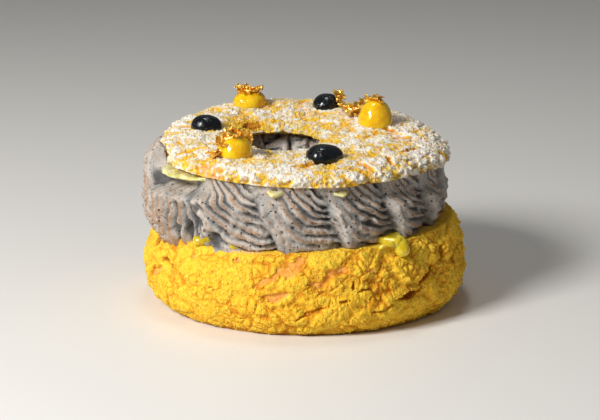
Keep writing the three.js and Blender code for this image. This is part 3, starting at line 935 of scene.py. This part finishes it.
def keepBack(points, angles, degrees):
    # beds against the bottom half and under the lid, and keeps back from the lid's edge
    radius = np.hypot(points[..., 0], points[..., 1])
    _, lidEdge = lidRadii(angles)
    lidEdge = lidEdge + lid["x"] * np.cos(angles)
    under = lidUnderside(points[..., 0], points[..., 1])
    back = 1.3 + 2.2 * nearTurn(degrees, *cream["tucked"])
    limit = lidEdge - mix(back, -5.6, nearTurn(degrees, *cream["bulge"]))
    near = smoothStep(under - 6.5, under - 3.5, points[..., 2])
    pulled = np.where(radius > limit, mix(radius, limit, near), radius)
    points[..., :2] = points[..., :2] * (pulled / radius)[..., None]
    covered = pulled < lidEdge + 0.3
    points[..., 2] = np.where(covered, np.minimum(points[..., 2], under + 0.1), points[..., 2])
    onFace = pulled < bun["cutRadius"] - 0.4
    floor = cutFaceHeight(points[..., 0]) - 0.1
    points[..., 2] = np.where(onFace, np.maximum(points[..., 2], floor), points[..., 2])


def buildCream():
    outer, inner = cream["outerRows"], cream["innerRows"]
    angles = fullTurn(cream["columns"])[:, None]
    # rows round the rope, as shares of a turn: they lie closest on the outer side
    spans = ((0.03, 0.47, outer), (0.47, 0.53, 6), (0.53, 0.97, inner), (0.97, 1.03, 6))
    turns = np.concatenate([np.linspace(*span, endpoint=False) for span in spans])[None, :]
    along = angles + 0 * turns
    for _ in range(14):
        along = angles + cream["crowding"] * np.sin(along)
    lean = 2 * math.pi * turns
    facing = np.sin(lean)
    outside = facing > 0
    advance = (along - math.radians(cream["start"])) * cream["loops"] / (2 * math.pi)
    left = np.maximum(0, -np.cos(angles)) ** 2
    degrees = np.degrees(angles) % 360
    lineX = cream["x"] + cream["radius"] * np.cos(angles)
    lineY = cream["radius"] * np.sin(angles)
    middle = (cutFaceHeight(lineX) + lidUnderside(lineX, lineY)) / 2 - cream["leftSwell"] * left

    def skin(reach):
        x = lineX + reach * facing * np.cos(angles)
        y = lineY + reach * facing * np.sin(angles)
        return stack(x, y, middle + reach * np.cos(lean))

    n = cream["squareness"]
    side = cream["reach"] + cream["rightReach"] * np.cos(angles)
    wide = (np.abs(facing) / side) ** n
    tall = (np.abs(np.cos(lean)) / cream["topReach"]) ** n
    reach = (wide + tall) ** (-1 / n) + cream["leftSwell"] * left
    plain = skin(reach)
    height = plain[..., 2]
    # loops of the piped rope, each with ridges that circle a point on it
    loops = advance - turns + cream["surge"] * np.cos(lean) / (2 * math.pi)
    loops = loops + 0.05 * noise(plain / 6, 403)
    loop = np.floor(loops)
    share = loops - loop
    width = 2 * math.pi * (cream["radius"] + 0.9 * reach * facing) / cream["loops"]
    width = np.maximum(width, 6) * (1 - cream["crowding"] * np.cos(along))
    ribbed = loop == cream["ribbedLoop"]
    across = (advance - loop - np.where(outside, 0.25, 0.75)) * width
    across = across - np.where(ribbed, cream["ribbedAlong"], cream["swirlAlong"]) * width
    upward = height - middle - 3 * (hashOf(loop, 7, 0, 409) - 0.5)
    upward = upward - np.where(ribbed, cream["ribbedHeight"], cream["swirlHeight"])
    gap = cream["ridgeGap"] * np.where(ribbed, cream["ribbedGap"], 1)
    phase = np.hypot(across, upward) / gap + hashOf(loop, 3, 0, 408)
    phase = phase + 0.42 * noise(plain / 6, 401) + 0.16 * noise(plain / 1.8, 402)
    part = phase - np.floor(phase)
    ridge = np.minimum(part / 0.38, (1 - part) / 0.62)
    ridge = smoothStep(0, 1.25, ridge) / smoothStep(0, 1.25, 1)
    # worn, ripped and smooth places
    blob = nearTurn(degrees, *cream["smoothBlob"], 2) * smoothStep(34, 38, height)
    torn = layeredNoise(plain / 1.2, 405)
    ripped = smoothStep(0.15, 0.6, noise(plain / 5, 407))
    worn = np.where(ribbed, smoothStep(35, 30, height), smoothStep(0.1, 0.65, share))
    depth = cream["ridgeDepth"] * (1 + 0.4 * noise(plain / 7, 404))
    depth = depth * (1 - 0.7 * blob) * smoothStep(0.1, 0.5, np.abs(facing))
    depth = depth * (1 - 0.55 * ripped) * mix(0.36, np.where(ribbed, 1.6, 1.2), worn)
    sunken = cream["loopDepth"] * np.where(outside, 1, 0.15) * facing * facing
    sunken = sunken * (1 - loopHeight(share)) * (1 - 0.7 * blob)
    pit, _ = cells(plain / 2.4, 410)
    pits = cream["pits"] * smoothStep(0.26, 0.12, pit)
    hollows = 0
    for turn, hollowHeight, radius, deep in creamHollows:
        sideways = np.radians(degrees - turn) * 42
        away = np.hypot(sideways, height - hollowHeight) / radius
        hollows = hollows + deep * np.exp(-(away**2)) * outside
    surface = reach - depth * (1 - ridge) - sunken - pits - hollows
    surface = surface + (cream["torn"] + cream["ripped"] * ripped) * torn
    surface = surface + cream["lumps"] * noise(plain / 4, 406)
    surface = surface + cream["fineLumps"] * noise(plain / 0.75, 412)
    teeth = nearTurn(degrees, *cream["teeth"]) * smoothStep(32, 30, height) * outside
    surface = surface + teeth * (np.abs(np.cos(math.pi * height / cream["toothGap"])) - 0.9)
    points = skin(surface)
    keepBack(points, angles, degrees)
    # crest is 1 on the ridges and 0 in the valleys, where they are deep; its low values become painted
    # shade
    step = np.maximum(smoothStep(0.12, 0.0, share), smoothStep(0.8, 1.0, share))
    crest = mix(0.6, ridge, np.clip(depth / cream["ridgeDepth"], 0, 1))
    # painted shade at the steps between loops and in the pits
    crest = mix(crest * (1 - 0.6 * step) + 0.15 * torn - 0.5 * pits, 0.6, blob)
    # painted shade in the hollows
    crest = np.clip(crest - 0.3 * hollows, 0, 1)
    faces = gridFaces(cream["columns"], turns.shape[1])
    material = makeCreamMaterial()
    addPiece("sesameCream", points, faces, material, ["cream"], {"crest": crest})


# curd

curd = {
    "inner": 20,
    "outer": 35,
    "thickness": 1.4,
    "gap": 0.33,
    "lip": 0.9,
    "waviness": 0.5,
    "bumps": (0.3, 0.12),
    "steps": 480,
    "lower": {
        "clear": "#dcc32c",
        "deep": "#cbae1a",
        "roughness": 0.12,
        "coat": 0.6,
        "scatter": 0.7,
        "ripple": 0.25,
    },
    "upper": {
        "clear": "#d9d5a6",
        "deep": "#bdb66a",
        "roughness": 0.12,
        "coat": 0.6,
        "scatter": 0.85,
        "ripple": 0.25,
    },
}
# each tongue: degrees round the ring and how wide, then how far out, how far down and how thick
lowerTongues = [
    {"at": -55, "width": 6, "reach": 8.8, "drop": 1.5, "swell": 1.6},
    {"at": -118, "width": 5, "reach": 6.6, "drop": 0.3, "swell": 0.9},
    {"at": -134, "width": 6, "reach": 7.4, "drop": 0.5, "swell": 0.9},
]
upperTongues = [
    {"at": -152, "width": 20, "reach": 6.5, "drop": 0.3, "swell": -0.2, "blunt": 2},
    {"at": -102, "width": 5, "reach": 5.4, "drop": 1.2, "swell": 0},
    {"at": -76, "width": 5, "reach": 5.2, "drop": 1.2, "swell": 0},
]


def makeGelMaterial(name, gel):
    material, tree, shader, position = newMaterial(name)
    broad = noiseNode(tree, position, 0.5, detail=2.0).outputs["Fac"]
    ripple = noiseNode(tree, position, 1.1, detail=3.0).outputs["Fac"]
    layers = [("deep", spread(tree, broad, 0.35, 0.65), 1.0)]
    setSockets(
        tree,
        shader,
        {
            "Base Color": layColours(tree, colour(gel["clear"]), gel, layers),
            "Roughness": gel["roughness"],
            "Coat Weight": gel["coat"],
            "Specular IOR Level": 0.6 * gel["coat"],
            "Coat Roughness": 0.04,
            "Subsurface Weight": gel["scatter"],
            "Subsurface Radius": (1.0, 0.75, 0.15),
            "Subsurface Scale": 2.2 * mm,
            "Normal": bump(tree, ripple, gel["ripple"], 1.0),
        },
    )
    return material


curdGel = makeGelMaterial("curdGel", curd["lower"])
paleCurd = makeGelMaterial("paleCurd", curd["upper"])


def curdLayer(name, node, material, tongues, bottomAt, seed):
    angles = fullTurn(curd["steps"])
    reach = curd["waviness"] * noise(stack(5 * np.cos(angles), 5 * np.sin(angles), 0), 51)
    drop, swell = 0 * angles, 0 * angles
    for tongue in tongues:
        turn = angles - math.radians(tongue["at"])
        away = np.degrees(np.arctan2(np.sin(turn), np.cos(turn)))
        share = nearTurn(np.abs(away), 0, tongue["width"], 2 * tongue.get("blunt", 1))
        reach = reach + tongue["reach"] * share
        drop = drop + tongue["drop"] * share
        swell = swell + tongue["swell"] * share
    edge = curd["outer"] + reach
    top, lip = curd["thickness"], curd["lip"]
    rows = []

    def at(radius, lift):
        x, y = radius * np.cos(angles), radius * np.sin(angles)
        rows.append(stack(x, y, bottomAt(x, y) + lift))

    # out along the bottom, round the lip and back along the top
    at(curd["inner"] + 0 * angles, 0)
    for share in np.linspace(0, 1, 8):
        at(mix(curd["outer"] - lip, edge - lip, share), -drop * share**2)
    for turn in np.radians(np.linspace(-75, 75, 11)):
        half = (top + swell) / 2
        at(edge - lip * (1 - math.cos(turn)), half * (1 + math.sin(turn)) - drop)
    for share in np.linspace(1, 0, 8):
        lift = mix(top, top + swell - drop, share**2)
        at(mix(curd["outer"] - 1.5 * lip, edge - lip, share), lift)
    at(curd["inner"] + 0 * angles, top)
    points = np.stack(rows, 1)
    large, small = curd["bumps"]
    bumps = large * noise(points / 2.2, seed) + small * noise(points / 1.0, seed + 1)
    bumps = bumps * smoothStep(34, 38, np.hypot(points[..., 0], points[..., 1]))
    points = points + gridNormals(points) * bumps[..., None]
    addPiece(name, points, gridFaces(*points.shape[:2]), material, [node])


def tube(path, around, seed):
    # a closed sausage through the path's points, each a place and a radius
    middles = np.array([point for point, _ in path], float)
    radii = np.array([radius for _, radius in path], float)
    at = np.arange(len(path))
    fine = np.linspace(0, len(path) - 1, 8 * len(path))
    line = np.stack([np.interp(fine, at, middles[:, n]) for n in range(3)], -1)
    width = np.interp(fine, at, radii)
    for _ in range(12):
        line[1:-1] = (line[:-2] + 2 * line[1:-1] + line[2:]) / 4
        width[1:-1] = (width[:-2] + 2 * width[1:-1] + width[2:]) / 4
    length = np.concatenate([[0], np.cumsum(lengthOf(np.diff(line, axis=0))[:, 0])])
    ends = np.minimum(length / width[0], (length[-1] - length) / width[-1])
    width = width * np.sqrt(np.clip(1 - np.clip(1 - ends, 0, 1) ** 2, 0.0004, 1))
    ahead = np.gradient(line, axis=0)
    ahead = ahead / lengthOf(ahead)
    outward = line * (1, 1, 0)
    sideways = np.cross(ahead, outward / lengthOf(outward))
    sideways = sideways / lengthOf(sideways)
    upward = np.cross(sideways, ahead)
    turn = fullTurn(around)[None, :, None]
    ring = np.cos(turn) * sideways[:, None] + np.sin(turn) * upward[:, None]
    points = line[:, None] + ring * width[:, None, None]
    bumps = 0.25 * noise(points / 1.6, seed) * width[:, None] / width.max()
    points = points + ring * bumps[..., None]
    faces = gridFaces(len(fine), around, closeSteps=False)
    last = len(fine) * around
    ends = [[(i + 1) % around, i, last] for i in range(around)]
    top = last - around
    ends += [[top + i, top + (i + 1) % around, last + 1] for i in range(around)]
    return np.concatenate([points.reshape(-1, 3), line[[0, -1]]]), faces.tolist() + ends


# a curl of curd hanging over the cut edge: degrees, radius, height and thickness
curl = {
    "tail": [
        (-62.2, 41.4, 22.6, 0.35),
        (-60.2, 42.2, 23.9, 0.6),
        (-57.6, 42.6, 23.9, 0.8),
        (-55, 42, 23.4, 1.2),
    ],
    "body": [
        (-54.2, 40.6, 25.0, 1.5),
        (-53.4, 42.2, 23.6, 2.0),
        (-53.6, 43.2, 21.8, 2.1),
        (-54.6, 43.6, 20.2, 1.5),
    ],
    "around": 24,
    "seed": 521,
}


def buildCurl():
    points, faces = [], []
    for n, part in enumerate(("tail", "body")):
        path = []
        for turn, radius, height, thickness in curl[part]:
            turn = math.radians(turn)
            path.append(((radius * math.cos(turn), radius * math.sin(turn), height), thickness))
        piece, sides = tube(path, curl["around"], curl["seed"] + n)
        before = sum(len(p) for p in points)
        faces += [[corner + before for corner in face] for face in sides]
        points.append(piece)
    addPiece("curdCurl", np.concatenate(points), faces, curdGel)


def aboveCut(x, y):
    return cutFaceHeight(x) + curd["gap"]


def underLid(x, y):
    return lidUnderside(x, y) - curd["gap"] - curd["thickness"]


def buildCurd():
    curdLayer("lowerCurd", "lower_curd", curdGel, lowerTongues, aboveCut, 501)
    curdLayer("upperCurd", "upper_curd", paleCurd, upperTongues, underLid, 511)
    buildCurl()


# gel drops

drop = {
    "around": 72,
    "rows": 34,
    "foot": -38,  # degrees below the widest row
    "tail": 0.2,
    "swell": (0.35, 0.1),
    "black": {
        "clear": "#0a1014",
        "deep": "#04060a",
        "roughness": 0.2,
        "coat": 0.5,
        "scatter": 0.0,
        "ripple": 0.28,
    },
    "yellow": {
        "clear": "#efc71c",
        "deep": "#e8b310",
        "roughness": 0.12,
        "coat": 0.6,
        "scatter": 0.7,
        "ripple": 0.15,
    },
}
blackGel = makeGelMaterial("blackGel", drop["black"])
yellowGel = makeGelMaterial("yellowGel", drop["yellow"])


def dropPlace(node):
    low, high = (np.array(corner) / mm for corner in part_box(node))
    x, y, _ = (low + high) / 2
    base = lidTop(np.array([x]), np.array([y]))[0]
    return {"x": x, "y": y, "base": base, "radius": (high[0] - low[0]) / 2, "height": high[2] - base}


def buildDrop(name, node, material, seed, tailAt=None):
    spot = dropPlace(node)
    count = drop["around"]
    around = fullTurn(count)[:, None]
    climb = np.radians(np.linspace(drop["foot"], 90, drop["rows"]))[None, :-1]
    radius = spot["radius"] * np.cos(climb) ** 0.85
    if tailAt is not None:
        toTail = np.maximum(0, np.cos(around - math.radians(tailAt)))
        radius = radius * (1 + drop["tail"] * toTail**9)
    x = spot["x"] + radius * np.cos(around)
    y = spot["y"] + radius * np.sin(around)
    z = spot["base"] + spot["height"] * np.sin(climb) * np.where(climb < 0, 1.2, 1)
    points = stack(x, y, z)
    large, small = drop["swell"]
    swell = large * noise(points / 4, seed) + small * noise(points / 1.3, seed + 1)
    points = points + gridNormals(points, closeRows=False) * (swell * np.cos(climb))[..., None]
    rows = points.shape[1]
    # the tip and the middle of the foot close it
    tip = (spot["x"], spot["y"], spot["base"] + spot["height"])
    foot = (spot["x"], spot["y"], points[:, 0, 2].min())
    flat = np.concatenate([points.reshape(-1, 3), [tip, foot]])
    faces = gridFaces(count, rows, closeRows=False).tolist()
    for i in range(count):
        following = (i + 1) % count
        faces.append([i * rows + rows - 1, following * rows + rows - 1, count * rows])
        faces.append([following * rows, i * rows, count * rows + 1])
    addPiece(name, flat, faces, material, [node])


def buildDrops():
    for n, tail in ((1, -15), (2, 10), (3, None)):
        buildDrop(f"blackDrop{n}", f"black_drop_{n}", blackGel, 600 + 10 * n, tail)
    for n in (1, 2, 3):
        buildDrop(f"yellowDrop{n}", f"yellow_drop_{n}", yellowGel, 650 + 10 * n)


# gold leaf

leaf = {
    "thickness": 0.05,
    "gap": 0.15,
    "settled": 0.06,  # above the gap, where a flake would sink in
    "fine": 26,
    "seed": 700,
    "bright": "#ffe482",
    "deep": "#f9b12a",
}


def makeGold():
    material, tree, shader, position = newMaterial("goldLeaf")
    wrinkle = noiseNode(tree, position, 2.2, detail=5.0).outputs["Fac"]
    setSockets(
        tree,
        shader,
        {
            "Base Color": layColours(tree, colour(leaf["bright"]), leaf, [("deep", wrinkle, 1.0)]),
            "Metallic": 0.8,
            "Roughness": 0.3,
            "Normal": bump(tree, wrinkle, 0.1, 1.0),
        },
    )
    return material


gold = makeGold()


def restingHeight(x, y):
    top = lidTop(x, y) + 0.2
    for node in [f"{kind}_drop_{n}" for kind in ("black", "yellow") for n in (1, 2, 3)]:
        spot = dropPlace(node)
        away = np.hypot(x - spot["x"], y - spot["y"]) / spot["radius"]
        dome = spot["base"] + spot["height"] * np.sqrt(np.clip(1 - away**2, 0, 1))
        top = np.where(away < 1, np.maximum(top, dome), top)
    return top


# each flake: place along the strip, sideways, size, tilt, spin and lift
leafStrips = [
    {
        "node": "gold_leaf_1",
        "from": (-18.9, 26.4),
        "to": (-13.2, 26.2),
        "flakes": [
            (0.1, -0.2, 1.8, 50, 20, 0.3),
            (0.3, 0.8, 2.0, 25, 70, 0.1),
            (0.5, -0.8, 2.2, 40, 130, 0.1),
            (0.7, 0.4, 2.0, 20, 210, 0.1),
            (0.95, -0.4, 1.7, 45, 300, 0.2),
        ],
    },
    {
        "node": "gold_leaf_2",
        "from": (-23.8, -25.8),
        "to": (-14.6, -19.6),
        "flakes": [
            (0.0, 0.0, 2.0, 45, 250, 0.0),
            (0.1, -1.4, 2.2, 30, 200, 0.1),
            (0.22, 0.3, 2.5, 40, 30, 0.4),
            (0.45, 0.5, 2.7, 30, 80, 0.4),
            (0.7, 0.3, 2.3, 45, 150, 0.4),
            (0.9, -0.2, 1.8, 55, 340, 0.3),
            (0.5, -1.6, 1.9, 10, 10, 0.2),
        ],
    },
    {
        "node": "gold_leaf_3",
        "from": (9.4, 25),
        "to": (21.0, 8.2),
        "flakes": [
            (0.02, 0.0, 1.9, 55, 40, 0.9),
            (0.14, 0.2, 2.2, 35, 100, 0.5),
            (0.28, -0.2, 2.3, 45, 200, 0.5),
            (0.42, 0.3, 2.4, 25, 300, 0.6),
            (0.55, -0.3, 2.3, 40, 250, 0.5),
            (0.68, 0.0, 2.4, 35, 20, 0.3),
            (0.82, -0.6, 2.3, 25, 160, 0.0),
            (0.93, -0.6, 2.0, 40, 90, 0.0),
        ],
    },
]


def flake(centre, size, tilt, spin, seed):
    # a crumpled sheet with a ragged edge
    count = leaf["fine"]
    u, v = np.meshgrid(np.linspace(-1, 1, count), np.linspace(-1, 1, count), indexing="ij")
    flat = stack(u * 1.5, v * 1.5, seed)
    edge = 1.1 + 0.35 * noise(stack(u * 2, v * 2, 3), seed) + 0.2 * noise(stack(u * 6, v * 6, 5), seed)
    x = size * u * np.sqrt(1 - v * v / 2) * edge
    y = size * v * np.sqrt(1 - u * u / 2) * edge * 0.85
    fold = np.abs(noise(flat * 0.9, seed + 1)) + 0.35 * np.abs(noise(flat * 2.4, seed + 2))
    z = size * (fold - 0.5) * 0.8 + size * 0.35 * u * u
    turn = Matrix.Rotation(math.radians(spin), 3, "Z") @ Matrix.Rotation(math.radians(tilt), 3, "X")
    top = stack(x, y, z) @ np.array(turn).T + centre
    normal = gridNormals(top, closeSteps=False, closeRows=False)
    return np.stack([top, top - normal * leaf["thickness"]])


def closedSheetFaces(n):
    at = np.arange(2 * n * n).reshape(2, n, n)
    a, b, c, d = at[:, :-1, :-1], at[:, 1:, :-1], at[:, 1:, 1:], at[:, :-1, 1:]
    upper = np.stack([a[0], b[0], c[0], d[0]], -1).reshape(-1, 4)
    lower = np.stack([a[1], d[1], c[1], b[1]], -1).reshape(-1, 4)
    edge = np.concatenate([at[0, :, 0], at[0, -1, 1:], at[0, -2::-1, -1], at[0, 0, -2:0:-1]])
    other = edge + n * n
    side = np.stack([edge, other, np.roll(other, -1), np.roll(edge, -1)], -1)
    return np.concatenate([upper, lower, side])


def buildLeaves():
    for number, strip in enumerate(leafStrips, 1):
        start, end = np.array(strip["from"]), np.array(strip["to"])
        along = (end - start) / np.linalg.norm(end - start)
        across = np.array([along[1], -along[0]])
        points, faces = [], []
        for n, (share, sideways, size, tilt, spin, lift) in enumerate(strip["flakes"]):
            x, y = mix(start, end, share) + across * sideways
            z = restingHeight(np.array([x]), np.array([y]))[0] + leaf["gap"] + lift + 0.25
            sheet = flake(np.array([x, y, z]), size, tilt, spin, leaf["seed"] + 20 * number + n)
            rest = restingHeight(sheet[..., 0], sheet[..., 1]) + leaf["gap"]
            sheet[..., 2] = np.where(sheet[..., 2] < rest, rest + leaf["settled"], sheet[..., 2])
            faces.append(closedSheetFaces(leaf["fine"]) + sum(len(p) for p in points))
            points.append(sheet.reshape(-1, 3))
        points, faces = np.concatenate(points), np.concatenate(faces)
        addPiece(f"goldLeaf{number}", points, faces, gold, [strip["node"]])


# floor, light and camera

view = {
    "lens": 127.6,
    "sensor": 36,
    "from": (-1.4, -576.6, 171),
    "to": (-1.4, 0, 24),
}
stage = {
    "floor": "#e9e6e0",
    "floorSide": 8000,
    "world": 0.125,
    "lampsTo": (0, 0, 25),
    # sizes in metres
    "key": {"energy": 6.0, "size": 0.22, "from": (-430, -400, 430)},
    "fill": {"energy": 0.1, "size": 0.8, "from": (520, -380, 380)},
    "top": {"energy": 0.5, "size": 0.1, "from": (-20, 90, 600)},
}


def buildStage():
    mesh = bpy.data.meshes.new("floor")
    half = stage["floorSide"] / 2 * mm
    corners = [(-half, -half, 0), (half, -half, 0), (half, half, 0), (-half, half, 0)]
    mesh.from_pydata(corners, [], [(0, 1, 2, 3)])
    material, tree, shader, _ = newMaterial("floor")
    setSockets(tree, shader, {"Base Color": colour(stage["floor"]), "Roughness": 0.55})
    mesh.materials.append(material)
    floor = bpy.data.objects.new("floor", mesh)
    scene.collection.objects.link(floor)
    world = bpy.data.worlds.new("studio")
    world.use_nodes = True
    background = world.node_tree.nodes["Background"]
    background.inputs["Strength"].default_value = stage["world"]
    background.inputs["Color"].default_value = (1, 1, 1, 1)
    scene.world = world


def aim(thing, start, target):
    thing.location = Vector(start) * mm
    direction = Vector(target) - Vector(start)
    thing.rotation_euler = direction.to_track_quat("-Z", "Y").to_euler()
    scene.collection.objects.link(thing)


def addLamp(name):
    lamp = bpy.data.lights.new(name, "AREA")
    lamp.energy = stage[name]["energy"]
    lamp.size = stage[name]["size"]
    aim(bpy.data.objects.new(name, lamp), stage[name]["from"], stage["lampsTo"])


def buildCamera():
    camera = bpy.data.cameras.new("camera")
    camera.lens = view["lens"]
    camera.sensor_width = view["sensor"]
    camera.clip_start = 0.01
    holder = bpy.data.objects.new("camera", camera)
    aim(holder, view["from"], view["to"])
    scene.camera = holder


buildCamera()
buildStage()
for name in ("key", "fill", "top"):
    addLamp(name)
scene.view_settings.view_transform = "Standard"
print("stage ready")
buildBase()
buildCream()
buildCurd()
buildLid()
buildDrops()
buildLeaves()
print("pastry built")
